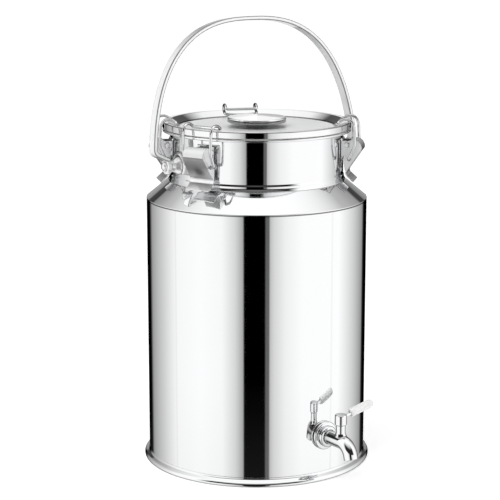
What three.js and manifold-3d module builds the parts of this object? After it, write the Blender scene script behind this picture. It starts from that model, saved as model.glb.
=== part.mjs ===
// Steel milk can with a clamped lid, a strip bail handle and a dispensing tap.
// Millimetres, +Z up. Origin: centre of the underside. X: bail pivot axis.
import * as THREE from 'three'
import { mergeVertices } from 'three/examples/jsm/utils/BufferGeometryUtils.js'
import Module from 'manifold-3d'

const wasm = await Module()
wasm.setup()

// ---- driving dimensions ----
const GAP = 0.3
const WALL = 1.2
const BODY_R = 125
const BODY_Z0 = 9.8
const BODY_Z1 = 302.3
const FOOT_R = 130.4
const NECK_R = 98
const NECK_Z0 = 323.9
const NECK_Z1 = 377.9
const RIM_R = 106.3
const BEAD_Z0 = 378.3
const SKIRT_Z = 382.4
const LID_Z = 389.8
const LID_FLAT_R = 101.5
const DISH_R = 87.5
const DISH_Z = 382.8
const KNOB_R = 33.4
const KNOB_Z0 = 388
const KNOB_EDGE_Z = 393
const KNOB_TOP_Z = 397
const PIVOT_Z = 345.5
const BAIL_A = 131
const BAIL_B = 189
const BAIL_POWER = 2.6
const BAIL_Z0 = 314.5
const BAIL_FOOT_Z = 360.5
const BAIL_T = 4.6
const BAIL_W = 14
const BAIL_LEAN = 6
const EYE_X = 113.8
const EYE_R = 8.6
const STUD_R = 4.4
const LATCH_AZ = [-64.5, -107, 49, 161]
const LATCH_NAMES = ['a', 'b', 'c', 'd']
const PIN_RZ = [105, 366]
const HOLE_RZ = [107.3, 350.4]
const LEVER_HALF = 13.1
const LEVER_FLARE = 0.17
const LEVER_FLARE_Z = 360.8
const WIRE_R = 1.6
const WIRE_HALF = 18.5
const TAP_AZ = 7
const TAP_Z = 51.3
const STEM_R = 153.5
const PIPE_R = 8
const BORE_R = 5.2
const RING_SEG = 48
const SMALL_SEG = 20

const group = new THREE.Group()
const paint = {
  steel: [0xd8dadc, 1.0, 0.08],
  dark: [0x9a9da0, 1.0, 0.3],
  rubber: [0xe8e6e0, 0.0, 0.6],
  sleeve: [0xf4f4f2, 0.0, 0.35],
}

function add(name, geo, kind) {
  const [color, metalness, roughness] = paint[kind]
  const mat = new THREE.MeshStandardMaterial({ color, metalness, roughness })
  const mesh = new THREE.Mesh(geo, mat)
  mesh.name = name
  group.add(mesh)
}

// ---- solids ----
function clean(geo) {
  const g = new THREE.BufferGeometry()
  const src = geo.index ? geo.toNonIndexed() : geo
  g.setAttribute('position', src.getAttribute('position').clone())
  return mergeVertices(g, 1e-5)
}

function solid(geo) {
  const g = clean(geo)
  const mesh = new wasm.Mesh({
    numProp: 3,
    vertProperties: new Float32Array(g.getAttribute('position').array),
    triVerts: new Uint32Array(g.index.array),
  })
  mesh.merge()
  return new wasm.Manifold(mesh)
}

function toGeo(man) {
  const m = man.getMesh()
  const g = new THREE.BufferGeometry()
  const pos = new Float32Array(m.numVert * 3)
  for (let i = 0; i < m.numVert; i += 1) {
    for (let k = 0; k < 3; k += 1) {
      pos[i * 3 + k] = m.vertProperties[i * m.numProp + k]
    }
  }
  g.setAttribute('position', new THREE.BufferAttribute(pos, 3))
  g.setIndex(Array.from(m.triVerts))
  const flat = g.toNonIndexed()
  flat.computeVertexNormals()
  return flat
}

function join(...list) {
  let out = solid(list[0])
  for (const g of list.slice(1)) {
    out = out.add(solid(g))
  }
  return toGeo(out)
}

function cut(base, ...tools) {
  let out = solid(base)
  for (const g of tools) {
    out = out.subtract(solid(g))
  }
  return toGeo(out)
}

function area(profile) {
  let a = 0
  for (let i = 0; i < profile.length; i += 1) {
    const [x0, y0] = profile[i]
    const [x1, y1] = profile[(i + 1) % profile.length]
    a += x0 * y1 - x1 * y0
  }
  return a / 2
}

// Revolved ring or disc about Z; a profile that touches the axis starts and ends on it.
function revolve(profile, seg = RING_SEG) {
  const pts = area(profile) > 0 ? profile.slice() : profile.slice().reverse()
  const onAxis = pts.filter((p) => p[0] === 0).length > 1
  if (onAxis) {
    while (!(pts[0][0] === 0 && pts[pts.length - 1][0] === 0)) {
      pts.push(pts.shift())
    }
  } else {
    pts.push(pts[0])
  }
  const geo = new THREE.LatheGeometry(pts.map((p) => new THREE.Vector2(p[0], p[1])), seg)
  geo.rotateX(Math.PI / 2)
  return clean(geo)
}

// Revolved about a radial line: profile is [offset from the line, distance from the can's axis].
function radialRevolve(profile, az, z, seg = SMALL_SEG) {
  const geo = revolve(profile, seg)
  geo.rotateY(Math.PI / 2)
  geo.rotateZ(THREE.MathUtils.degToRad(az - 90))
  geo.translate(0, 0, z)
  return geo
}

// Flat outline in the local radial plane, given a width along the tangent.
function plate(outline, t0, t1) {
  const shape = new THREE.Shape(outline.map((p) => new THREE.Vector2(p[0], p[1])))
  const geo = new THREE.ExtrudeGeometry(shape, { depth: t1 - t0, bevelEnabled: false })
  geo.rotateX(Math.PI / 2)
  geo.translate(0, t1, 0)
  return clean(geo)
}

function barY(r, x, z, y0, y1, seg = 16) {
  const geo = new THREE.CylinderGeometry(r, r, y1 - y0, seg)
  geo.translate(x, (y0 + y1) / 2, z)
  return clean(geo)
}

function arcPad(r0, r1, half, z0, z1, steps = 6) {
  const shape = new THREE.Shape()
  for (let i = 0; i <= steps; i += 1) {
    const a = THREE.MathUtils.degToRad(-half + (2 * half * i) / steps)
    const m = i === 0 ? 'moveTo' : 'lineTo'
    shape[m](r1 * Math.cos(a), r1 * Math.sin(a))
  }
  for (let i = steps; i >= 0; i -= 1) {
    const a = THREE.MathUtils.degToRad(-half + (2 * half * i) / steps)
    shape.lineTo(r0 * Math.cos(a), r0 * Math.sin(a))
  }
  const geo = new THREE.ExtrudeGeometry(shape, { depth: z1 - z0, bevelEnabled: false })
  geo.translate(0, 0, z0)
  return clean(geo)
}

// Corner points of a path replaced by short arcs.
function rounded(points, radius, n = 4) {
  const out = [points[0].clone()]
  for (let i = 1; i < points.length - 1; i += 1) {
    const p = points[i]
    const a = points[i - 1].clone().sub(p)
    const b = points[i + 1].clone().sub(p)
    const d = Math.min(radius, a.length() * 0.45, b.length() * 0.45)
    const p0 = p.clone().add(a.setLength(d))
    const p1 = p.clone().add(b.setLength(d))
    for (let k = 0; k <= n; k += 1) {
      const t = k / n
      const q = p0.clone().multiplyScalar((1 - t) * (1 - t))
      q.add(p.clone().multiplyScalar(2 * t * (1 - t)))
      q.add(p1.clone().multiplyScalar(t * t))
      out.push(q)
    }
  }
  out.push(points[points.length - 1].clone())
  return out
}

// Section (list of [along side, along up]) carried along a path and closed at both ends.
function sweep(path, section, sideStart) {
  const pos = []
  const index = []
  const n = section.length
  const tangents = path.map((p, i) => {
    const a = path[Math.max(0, i - 1)]
    const b = path[Math.min(path.length - 1, i + 1)]
    return b.clone().sub(a).normalize()
  })
  let side = sideStart.clone()
  for (let i = 0; i < path.length; i += 1) {
    const t = tangents[i]
    side = side.clone().sub(t.clone().multiplyScalar(side.dot(t))).normalize()
    const up = new THREE.Vector3().crossVectors(t, side)
    for (const [s, u] of section) {
      const v = path[i].clone()
      v.add(side.clone().multiplyScalar(s))
      v.add(up.clone().multiplyScalar(u))
      pos.push(v.x, v.y, v.z)
    }
  }
  for (let i = 0; i < path.length - 1; i += 1) {
    for (let k = 0; k < n; k += 1) {
      const a = i * n + k
      const b = i * n + ((k + 1) % n)
      index.push(a, b, b + n, a, b + n, a + n)
    }
  }
  const last = (path.length - 1) * n
  for (let k = 1; k < n - 1; k += 1) {
    index.push(0, k + 1, k)
    index.push(last, last + k, last + k + 1)
  }
  const geo = new THREE.BufferGeometry()
  geo.setAttribute('position', new THREE.Float32BufferAttribute(pos, 3))
  geo.setIndex(index)
  return geo
}

function disc(radius, sides) {
  const out = []
  for (let k = 0; k < sides; k += 1) {
    const a = (2 * Math.PI * k) / sides
    out.push([radius * Math.cos(a), radius * Math.sin(a)])
  }
  return out
}

function turn(geo, az) {
  geo.rotateZ(THREE.MathUtils.degToRad(az - 90))
  return geo
}

const V = (x, y, z) => new THREE.Vector3(x, y, z)

// ---- can ----
add('base_ring', revolve([
  [123.9, 0.1], [129.4, 0.1], [130.2, 0.9], [FOOT_R, 2.6], [129.6, 4.6], [127.2, 6.2],
  [125.4, 7], [BODY_R, 8], [BODY_R, 9.5], [123.9, 9.5],
]), 'steel')

add('bottom_plate', revolve([
  [0, 0], [121.5, 0], [123.2, 0.6], [123.6, 2], [123.6, 9.5], [122.4, 9.5], [122.4, 2.4],
  [121.5, 1.6], [0, 1.6],
]), 'steel')

const bodyTube = revolve([
  [BODY_R - WALL, BODY_Z0], [BODY_R, BODY_Z0], [BODY_R, BODY_Z1], [BODY_R - WALL, BODY_Z1],
])
const wallHole = radialRevolve([[0, 110], [7.5, 110], [7.5, 135], [0, 135]], TAP_AZ, TAP_Z)
add('body_shell', cut(bodyTube, wallHole), 'steel')

add('shoulder_cone', revolve([
  [BODY_R - 1.6, BODY_Z1 + GAP], [BODY_R - 0.3, BODY_Z1 + GAP], [BODY_R, 303.2],
  [100.6, NECK_Z0 - GAP], [99, NECK_Z0 - GAP], [121.5, 304.6],
]), 'steel')

add('neck_tube', revolve([
  [NECK_R - WALL, NECK_Z0], [100.4, NECK_Z0], [99.6, 325.6], [99, 330], [NECK_R, 331.5],
  [NECK_R, NECK_Z1], [NECK_R - WALL, NECK_Z1],
]), 'steel')

add('mouth_bead', revolve([
  [NECK_R - WALL, BEAD_Z0], [105.2, BEAD_Z0], [106, 378.8], [RIM_R, 379.8], [106, 380.9],
  [105.2, 381.4], [98.4, 381.4], [NECK_R - WALL, 381],
]), 'steel')

// ---- lid ----
add('lid_dish', revolve([
  [0, DISH_Z - 1.2], [DISH_R - GAP, DISH_Z - 1.2], [DISH_R - GAP, DISH_Z], [0, DISH_Z],
]), 'steel')

add('lid_rim', revolve([
  [DISH_R, DISH_Z - 1.2], [88, DISH_Z - 1.2], [97.4, 386.8], [98.2, 384.2], [105, 384.2],
  [105, SKIRT_Z], [RIM_R, SKIRT_Z], [RIM_R, LID_Z - 0.7], [105.6, LID_Z], [LID_FLAT_R, LID_Z],
  [DISH_R, DISH_Z],
]), 'steel')

add('lid_gasket', revolve([
  [98.6, 381.7], [104.6, 381.7], [104.6, 383.9], [98.6, 383.9],
]), 'rubber')

add('lid_knob', revolve([
  [0, KNOB_Z0], [32.6, KNOB_Z0], [KNOB_R, 388.6], [KNOB_R, 392.3], [32.6, KNOB_EDGE_Z],
  [26, 394.6], [14, 396.3], [0, KNOB_TOP_Z],
], 40), 'steel')

add('knob_post', revolve([
  [0, DISH_Z + GAP], [12, DISH_Z + GAP], [11, 384], [10.4, 386], [10.4, KNOB_Z0 - GAP],
  [0, KNOB_Z0 - GAP],
], SMALL_SEG), 'steel')

add('knob_screw', revolve([
  [0, 378.3], [3, 378.3], [4.6, 379], [5.2, 380.2], [5.2, 381.3], [0, 381.3],
], 16), 'steel')

// ---- bail handle ----
function bailPath() {
  const half = []
  half.push(V(EYE_X, 0, PIVOT_Z))
  half.push(V(EYE_X, 0, 352.8))
  const steps = 15
  const arch = []
  const first = Math.asin(((BAIL_FOOT_Z - BAIL_Z0) / BAIL_B) ** (BAIL_POWER / 2))
  for (let i = 0; i <= steps; i += 1) {
    const a = first + (Math.PI / 2 - first) * (i / steps)
    const x = BAIL_A * Math.cos(a) ** (2 / BAIL_POWER)
    const z = BAIL_Z0 + BAIL_B * Math.sin(a) ** (2 / BAIL_POWER)
    arch.push(V(x, 0, z))
  }
  const right = rounded([...half, arch[0], arch[1]], 5, 3).slice(0, -1).concat(arch.slice(1, -1))
  const left = right.slice().reverse().map((p) => V(-p.x, 0, p.z))
  return [...right, arch[steps], ...left]
}

const edge = 0.8
const w = BAIL_W / 2
const t = BAIL_T / 2
const stripSection = [
  [-w, edge - t], [edge - w, -t], [w - edge, -t], [w, edge - t],
  [w, t - edge], [w - edge, t], [edge - w, t], [-w, t - edge],
]

function barX(r, x0, x1, z, seg = SMALL_SEG) {
  const geo = new THREE.CylinderGeometry(r, r, x1 - x0, seg)
  geo.rotateZ(Math.PI / 2)
  geo.translate((x0 + x1) / 2, 0, z)
  return clean(geo)
}

const strip = sweep(bailPath(), stripSection, V(0, 1, 0))
const eyes = [-1, 1].map((s) => {
  const x0 = s * EYE_X - BAIL_T / 2
  return barX(EYE_R, x0, x0 + BAIL_T, PIVOT_Z)
})
const eyeHoles = [-1, 1].map((s) => barX(STUD_R + 0.45, s * EYE_X - 9, s * EYE_X + 9, PIVOT_Z))
const bail = cut(join(strip, ...eyes), ...eyeHoles)
bail.translate(0, 0, -PIVOT_Z)
bail.rotateX(-THREE.MathUtils.degToRad(BAIL_LEAN))
bail.translate(0, 0, PIVOT_Z)
add('bail_strip', bail, 'steel')

for (const [side, az] of [['left', -90], ['right', 90]]) {
  const half = 12
  const fan = new THREE.Shape()
  fan.moveTo(-21, 336.5)
  fan.lineTo(21, 336.5)
  fan.lineTo(21.5, 339.5)
  fan.lineTo(5, 361)
  fan.lineTo(-5, 361)
  fan.lineTo(-21.5, 339.5)
  fan.closePath()
  const wedge = new THREE.ExtrudeGeometry(fan, { depth: 40, bevelEnabled: false })
  wedge.rotateX(Math.PI / 2)
  wedge.rotateZ(Math.PI / 2)
  wedge.translate(80, 0, 0)
  const pad = arcPad(NECK_R + GAP, NECK_R + 1.9, half + 1.5, 334, 363, 10)
  const padSolid = solid(pad).intersect(solid(wedge))
  const boss = revolve([[0, 99], [10.6, 99], [9.6, 103], [7.2, 106.4], [6.4, 110.2], [0, 110.2]])
  boss.rotateY(Math.PI / 2)
  boss.translate(0, 0, PIVOT_Z)
  const whole = padSolid.add(solid(boss))
  const hole = barX(STUD_R + 0.3, 104, 112, PIVOT_Z)
  add(`bail_bracket_${side}`, turn(toGeo(whole.subtract(solid(hole))), az), 'steel')
  const washer = radialRevolve([
    [STUD_R + 0.4, 110.5], [7.4, 110.5], [7.4, 111.3], [STUD_R + 0.4, 111.3],
  ], az, PIVOT_Z)
  add(`bail_washer_${side}`, washer, 'steel')
  const stud = radialRevolve([
    [0, 104.3], [STUD_R, 104.3], [STUD_R, 116.3], [5, 116.3], [4.8, 118], [3.8, 119.4],
    [2.2, 120], [0, 120.3],
  ], az, PIVOT_Z)
  add(`bail_stud_${side}`, stud, 'steel')
}

// ---- lid latches, built in a radial plane and turned into place ----
const leverOuter = [
  [108.6, 371.2], [112.4, 371.8], [115.8, 371.2], [118.6, 369.2], [120.6, 366.4], [121.5, 363.2],
  [121.5, 360.8], [104.4, 335.2], [104.9, 332.7], [113.2, 325.5],
]
const leverInner = [
  [112.2, 324.5], [103.5, 332], [102.8, 335.6], [119.9, 361.2], [119.9, 363], [119.2, 365.6],
  [117.5, 368], [115.2, 369.7], [112.4, 370.3], [108.6, 369.8],
]
const leverEarTop = [
  [101.2, 367.4], [102.6, 369.4], [108.6, 371.2], [112.4, 371.8], [115.8, 371.2], [118.6, 369.2],
  [120.6, 366.4], [121.5, 363.2], [121.5, LEVER_FLARE_Z], [101.2, LEVER_FLARE_Z],
]
const leverEarLow = [
  [101.2, LEVER_FLARE_Z], [121.5, LEVER_FLARE_Z], [104.9, 335.9], [102.8, 337.4], [101.2, 346],
]

// The lever is wider at its fold and tail than at its rounded top.
function flare(geo) {
  const p = geo.getAttribute('position')
  for (let i = 0; i < p.count; i += 1) {
    const low = Math.min(1, Math.max(0, (LEVER_FLARE_Z - p.getZ(i)) / 25))
    p.setY(i, p.getY(i) * (1 + LEVER_FLARE * low))
  }
  return geo
}

function latchWirePath() {
  const [hr, hz] = HOLE_RZ
  const half = [
    V(hr, 11.6, hz), V(hr, WIRE_HALF, hz), V(114.2, WIRE_HALF, 366), V(113.2, WIRE_HALF, 388),
    V(109.4, WIRE_HALF, 394.8), V(101.4, WIRE_HALF, 395.5), V(94.6, WIRE_HALF, 391),
  ]
  const other = half.slice().reverse().map((p) => V(p.x, -p.y, p.z))
  return rounded([...half, ...other], 3, 2)
}

LATCH_AZ.forEach((az, i) => {
  const id = LATCH_NAMES[i]
  const [pr, pz] = PIN_RZ
  const [hr, hz] = HOLE_RZ
  const pad = arcPad(NECK_R + GAP, NECK_R + 1.5, 6.2, 347.5, 373)
  const earOutline = [[98.8, 350], [103.6, 361.2], [107.4, 362.2], [109.2, 364.4], [109.2, 367.6],
    [107.4, 369.8], [103.6, 370.2], [98.8, 370.2]]
  const ears = [-1, 1].map((s) => plate(earOutline, s * 9.75 - 0.75, s * 9.75 + 0.75))
  const plateHole = barY(2.35, pr, pz, -20, 20)
  add(`latch_${id}_base`, turn(cut(join(pad, ...ears), plateHole), az), 'steel')

  const face = plate([...leverOuter, ...leverInner], -LEVER_HALF, LEVER_HALF)
  const sides = [-1, 1].flatMap((s) => {
    const c = s * (LEVER_HALF - 0.7)
    return [leverEarTop, leverEarLow].map((outline) => plate(outline, c - 0.7, c + 0.7))
  })
  const holes = [barY(2.35, pr, pz, -20, 20), barY(2.2, hr, hz, -20, 20)]
  const lever = join(flare(face), ...sides.map(flare))
  add(`latch_${id}_lever`, turn(cut(lever, ...holes), az), 'steel')

  const wire = sweep(latchWirePath(), disc(WIRE_R, 6), V(0, 0, 1))
  add(`latch_${id}_wire`, turn(wire, az), 'steel')

  const pin = revolve([
    [0, -14.8], [3.4, -14.4], [3.4, -13.5], [2, -13.5], [2, 13.5], [3.4, 13.5], [3.4, 14.4],
    [0, 14.8],
  ], 10)
  pin.rotateX(Math.PI / 2)
  pin.translate(pr, 0, pz)
  add(`latch_${id}_pin`, turn(pin, az), 'steel')
})

// ---- tap ----
function tapPath(from) {
  const pts = [V(from, 0, TAP_Z)]
  const bend = 16
  const start = 155
  const total = THREE.MathUtils.degToRad(75)
  const steps = 10
  for (let i = 0; i <= steps; i += 1) {
    const a = (total * i) / steps
    pts.push(V(start + bend * Math.sin(a), 0, TAP_Z - bend * (1 - Math.cos(a))))
  }
  const end = pts[pts.length - 1]
  pts.push(V(end.x + 4.3 * Math.cos(total), 0, end.z - 4.3 * Math.sin(total)))
  return pts
}

const pipe = sweep(tapPath(129.9), disc(PIPE_R, 20), V(0, 1, 0))
const tail = revolve([[0, 116], [7, 116], [7, 131], [0, 131]], SMALL_SEG)
tail.rotateY(Math.PI / 2)
tail.translate(0, 0, TAP_Z)
const housing = revolve([[0, TAP_Z], [5.3, TAP_Z], [5.3, 70.1], [0, 70.1]], SMALL_SEG)
housing.translate(STEM_R, 0, 0)
const longPath = tapPath(110)
const lastPoint = longPath[longPath.length - 1]
const before = longPath[longPath.length - 2]
longPath.push(lastPoint.clone().add(lastPoint.clone().sub(before)))
const bore = sweep(longPath, disc(BORE_R, 16), V(0, 1, 0))
const stemBore = revolve([[0, TAP_Z], [3.3, TAP_Z], [3.3, 80], [0, 80]], 16)
stemBore.translate(STEM_R, 0, 0)
add('tap_spout', turn(cut(join(pipe, tail, housing), bore, stemBore), TAP_AZ), 'steel')

add('tap_washer', radialRevolve([
  [7.6, 125.4], [15.2, 125.4], [16, 126.2], [16, 128.2], [15, 129.2], [11.5, 129.6], [7.6, 129.6],
], TAP_AZ, TAP_Z, 32), 'steel')

add('tap_collar', radialRevolve([
  [8.3, 130], [11.4, 130], [12, 130.6], [12, 133], [11, 134.4], [9.4, 135], [8.3, 135],
], TAP_AZ, TAP_Z, 32), 'steel')

add('tap_inner_gasket', radialRevolve([
  [7.5, 120.8], [13, 120.8], [13, 122.8], [7.5, 122.8],
], TAP_AZ, TAP_Z), 'rubber')

add('tap_lock_nut', radialRevolve([
  [8.5, 116.4], [12.4, 116.4], [12.4, 120.5], [8.5, 120.5],
], TAP_AZ, TAP_Z, 6), 'steel')

function stemPart(profile, seg = SMALL_SEG) {
  const geo = revolve(profile, seg)
  geo.translate(STEM_R, 0, 0)
  return turn(geo, TAP_AZ)
}

add('tap_plug', stemPart([
  [0, TAP_Z - 4.6], [2.4, TAP_Z - 3.9], [4, TAP_Z - 2.2], [4.6, TAP_Z], [4, TAP_Z + 2.2],
  [2.9, TAP_Z + 3.5], [2.9, 72.6], [0, 72.6],
], 16), 'steel')

const cap = revolve([
  [0, 73], [3.2, 73], [3.2, 70.4], [6.2, 70.4], [6.8, 71.1], [6.8, 81.1], [6.2, 82], [0, 82.3],
], SMALL_SEG)
cap.translate(STEM_R, 0, 0)
const SLEEVE_A = [14, 81.4]
const SLEEVE_B = [44.1, 87.7]
const SLEEVE_R = 4.2
const slope = (SLEEVE_B[1] - SLEEVE_A[1]) / (SLEEVE_B[0] - SLEEVE_A[0])
const leverPath = rounded([V(STEM_R, 1, 79.1), V(STEM_R, 6, 79.5), V(STEM_R, ...SLEEVE_A),
  V(STEM_R, 39, SLEEVE_A[1] + slope * (39 - SLEEVE_A[0]))], 3, 3)
const arm = sweep(leverPath, [[-2.6, -1.3], [2.6, -1.3], [2.6, 1.3], [-2.6, 1.3]], V(1, 0, 0))
add('tap_lever', turn(join(cap, arm), TAP_AZ), 'steel')

function sleevePath(y0, y1) {
  return [y0, y1].map((y) => V(STEM_R, y, SLEEVE_A[1] + slope * (y - SLEEVE_A[0])))
}
const outerPath = []
const ringR = []
for (const [y, inset] of [[13.4, 0.7], [14, 0.2], [15.5, 0], [40.5, 0], [42.8, 0.5], [44.1, 1.7]]) {
  outerPath.push(sleevePath(y, y)[0])
  ringR.push(SLEEVE_R - inset)
}
function taper(path, radii, sides) {
  const geo = sweep(path, disc(1, sides), V(1, 0, 0))
  const p = geo.getAttribute('position')
  for (let i = 0; i < path.length; i += 1) {
    for (let k = 0; k < sides; k += 1) {
      const v = V(0, 0, 0).fromBufferAttribute(p, i * sides + k)
      v.sub(path[i]).multiplyScalar(radii[i]).add(path[i])
      p.setXYZ(i * sides + k, v.x, v.y, v.z)
    }
  }
  return geo
}
const sleeveBody = taper(outerPath, ringR, 16)
const slot = sweep(sleevePath(10, 39.5), [[-2.9, -1.6], [2.9, -1.6], [2.9, 1.6], [-2.9, 1.6]],
  V(1, 0, 0))
add('tap_sleeve', turn(cut(sleeveBody, slot), TAP_AZ), 'sleeve')

export default group
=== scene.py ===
import math

import bmesh
import bpy
from mathutils import Matrix, Vector


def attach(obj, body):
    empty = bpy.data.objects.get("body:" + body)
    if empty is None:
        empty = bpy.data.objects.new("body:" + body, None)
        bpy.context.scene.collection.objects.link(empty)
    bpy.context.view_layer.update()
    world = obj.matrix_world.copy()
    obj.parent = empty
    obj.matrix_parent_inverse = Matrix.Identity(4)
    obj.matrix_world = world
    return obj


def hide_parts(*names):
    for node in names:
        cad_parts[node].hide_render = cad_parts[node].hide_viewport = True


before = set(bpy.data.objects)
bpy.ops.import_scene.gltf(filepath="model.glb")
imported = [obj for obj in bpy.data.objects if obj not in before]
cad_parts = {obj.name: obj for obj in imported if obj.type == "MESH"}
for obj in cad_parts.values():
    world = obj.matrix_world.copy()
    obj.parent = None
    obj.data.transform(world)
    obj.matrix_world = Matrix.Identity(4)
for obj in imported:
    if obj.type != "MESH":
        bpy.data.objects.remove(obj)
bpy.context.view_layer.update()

# ---------------------------------------------------------------- dimensions
# Lengths are in mm and angles in degrees. Azimuth 0 is the -Y side and 90 is the +X side.
CAMERA_AZ = -30.0

BODY_R = 125.0
WALL = 1.2
SHELL_Z = (9.8, 302.3)
SHELL_PLAIN_Z = (10.1, 300.8)
SHELL_ROWS = 24
SHELL_RING_Z = (301.2, 301.4)
WELD_AZ = (11.25, -75.0)
WELD_HALF_AZ = 0.3
NECK_R = 98.0
PAD_GAP = 0.32

PIVOT_Z = 345.5
EYE_X = 113.8
EYE_R = 8.6
EYE_BORE_R = 4.85
EYE_NECK_Z = 352.8
EYE_LAP = 6.9
BAIL_A = 131.0
BAIL_B = 189.0
BAIL_Z0 = 314.5
BAIL_FOOT_Z = 360.5
BAIL_POWER = 2.6
BAIL_T = 4.6
BAIL_W = 14.0
BAIL_LEAN = 6.0
BAIL_STEPS = 90
STUD_R = 4.4
BRACKET_Z = (336.6, 361.0)
BRACKET_SHOULDER_Z = 339.5
BRACKET_HALF_W = (20.6, 21.5, 5.0)

LATCHES = {"a": -64.5, "b": -107.0, "c": 49.0, "d": 161.0}
PIN_RZ = (105.0, 366.0)
HOLE_RZ = (107.3, 350.4)
PIN_HOLE_R = 2.35
WIRE_HOLE_R = 2.2
SHEET_T = 1.4
LEVER_HALF = 13.1
LEVER_FLARE = 0.17
LEVER_FLARE_Z = 360.8
LEVER_FLARE_RUN = 25.0
LEVER_EAR_T = 1.36
LEVER_EAR_INSET = 0.72
LATCH_PAD_Z = (347.5, 373.0)
LATCH_PAD_HALF_AZ = 6.2
BASE_EAR_Y = 9.75
WIRE_R = 1.6
WIRE_HALF = 18.5
WIRE_END = 11.7

TAP_AZ = 7.0
TAP_Z = 51.3
STEM_R = 153.5
PIPE_R = 8.0
BORE_R = 5.2
PIPE_START_R = 129.9
BEND_START_R = 155.0
BEND_R = 16.0
BEND_ANGLE = 75.0
OUTLET_RUN = 4.3
SLEEVE_A = (14.0, 81.4)
SLEEVE_B = (44.1, 87.7)
SLEEVE_R = 4.8
ARM_END = 39.0
SLEEVE_SLOPE = (SLEEVE_B[1] - SLEEVE_A[1]) / (SLEEVE_B[0] - SLEEVE_A[0])

# the mesh attribute that carries the painted shade on a steel, how dark each point looks from 0 to
# 1; on the body shell it also carries the faint weld lines
DARK = "edge"


# ---------------------------------------------------------------- materials
def new_material(name):
    """A node material with its tree and its main shader."""
    mat = bpy.data.materials.new(name)
    mat.use_nodes = True
    nt = mat.node_tree
    bsdf = nt.nodes["Principled BSDF"]
    return mat, nt, bsdf


def steel(name, base=(0.93, 0.935, 0.94), rough=0.035, vary=0.03, bump=0.02, scale=40.0,
          rim=0.0, rim_start=0.45, rim_end=0.96, dark=0.0, metal=1.0):
    """Stainless steel with a faint polishing haze and upright hairlines.

    rim is painted shade on faces seen at a grazing angle, and dark is how far the DARK attribute
    (painted shade, and the shell's weld lines) can darken a point.
    """
    mat, nt, bsdf = new_material(name)
    bsdf.inputs["Base Color"].default_value = (*base, 1.0)
    tint = None
    # painted shade: the colour darkens where a face is seen at a grazing angle
    if rim > 0:
        facing = nt.nodes.new("ShaderNodeLayerWeight")
        facing.inputs["Blend"].default_value = 0.5
        shade = nt.nodes.new("ShaderNodeValToRGB")
        shade.color_ramp.elements[0].position = rim_start
        shade.color_ramp.elements[0].color = (*base, 1.0)
        shade.color_ramp.elements[1].position = rim_end
        shade.color_ramp.elements[1].color = (*[c * (1 - rim) for c in base], 1.0)
        nt.links.new(facing.outputs["Facing"], shade.inputs["Fac"])
        tint = shade.outputs["Color"]
        nt.links.new(tint, bsdf.inputs["Base Color"])
    # painted shade read from the DARK attribute on the mesh
    if dark > 0:
        tone = nt.nodes.new("ShaderNodeAttribute")
        tone.attribute_name = DARK
        shaded = nt.nodes.new("ShaderNodeMix")
        shaded.data_type = "RGBA"
        shaded.inputs["A"].default_value = (*base, 1.0)
        shaded.inputs["B"].default_value = (*[c * (1 - dark) for c in base], 1.0)
        nt.links.new(tone.outputs["Fac"], shaded.inputs["Factor"])
        if tint:
            nt.links.new(tint, shaded.inputs["A"])
        nt.links.new(shaded.outputs["Result"], bsdf.inputs["Base Color"])
    bsdf.inputs["Metallic"].default_value = metal
    coord = nt.nodes.new("ShaderNodeTexCoord")
    haze = nt.nodes.new("ShaderNodeTexNoise")
    haze.inputs["Scale"].default_value = scale
    haze.inputs["Detail"].default_value = 4.0
    nt.links.new(coord.outputs["Object"], haze.inputs["Vector"])
    span = nt.nodes.new("ShaderNodeMapRange")
    span.inputs["From Min"].default_value = 0.35
    span.inputs["From Max"].default_value = 0.75
    span.inputs["To Min"].default_value = rough
    span.inputs["To Max"].default_value = rough + vary
    nt.links.new(haze.outputs["Fac"], span.inputs["Value"])
    nt.links.new(span.outputs["Result"], bsdf.inputs["Roughness"])
    stretch = nt.nodes.new("ShaderNodeMapping")
    stretch.inputs["Scale"].default_value = (260.0, 260.0, 9.0)
    nt.links.new(coord.outputs["Object"], stretch.inputs["Vector"])
    hair = nt.nodes.new("ShaderNodeTexNoise")
    hair.inputs["Scale"].default_value = 3.0
    hair.inputs["Detail"].default_value = 2.0
    nt.links.new(stretch.outputs["Vector"], hair.inputs["Vector"])
    node = nt.nodes.new("ShaderNodeBump")
    node.inputs["Strength"].default_value = bump
    node.inputs["Distance"].default_value = 0.0001
    nt.links.new(hair.outputs["Fac"], node.inputs["Height"])
    nt.links.new(node.outputs["Normal"], bsdf.inputs["Normal"])
    return mat


# rim and dark set how much painted shade each steel gets
MAT_BODY = steel("steel_body_polished", bump=0.004, dark=0.85)
MAT_LID = steel("steel_lid_polished", rough=0.04, vary=0.03, bump=0.006, rim=0.85,
                rim_start=0.9, rim_end=0.98, dark=0.92)
MAT_STRIP = steel("steel_strip_polished", base=(0.97, 0.972, 0.975), rough=0.08, vary=0.04,
                  bump=0.01, rim=0.8, rim_start=0.72, dark=0.85, metal=0.35)
MAT_PIVOT = steel("steel_pivot_polished", base=(0.95, 0.955, 0.96), rough=0.16, vary=0.04,
                  bump=0.01, rim=0.95, rim_start=0.4, rim_end=0.82, dark=0.9, metal=0.6)
MAT_SHEET = steel("steel_sheet_pressed", base=(0.9, 0.905, 0.91), rough=0.09, vary=0.05,
                  bump=0.01, rim=0.6, metal=0.85)
MAT_LEVER = steel("steel_lever_pressed", base=(0.95, 0.955, 0.96), rough=0.12, vary=0.05,
                  bump=0.01, rim=0.7, rim_start=0.7, dark=0.92, metal=0.5)
MAT_WIRE = steel("steel_wire_drawn", base=(0.95, 0.955, 0.96), rough=0.06, vary=0.04,
                 bump=0.02, rim=0.95, rim_start=0.22, rim_end=0.62)
MAT_TAP = steel("steel_tap_polished", rough=0.035, vary=0.03, rim=0.8, rim_start=0.4,
                rim_end=0.85)
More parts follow.
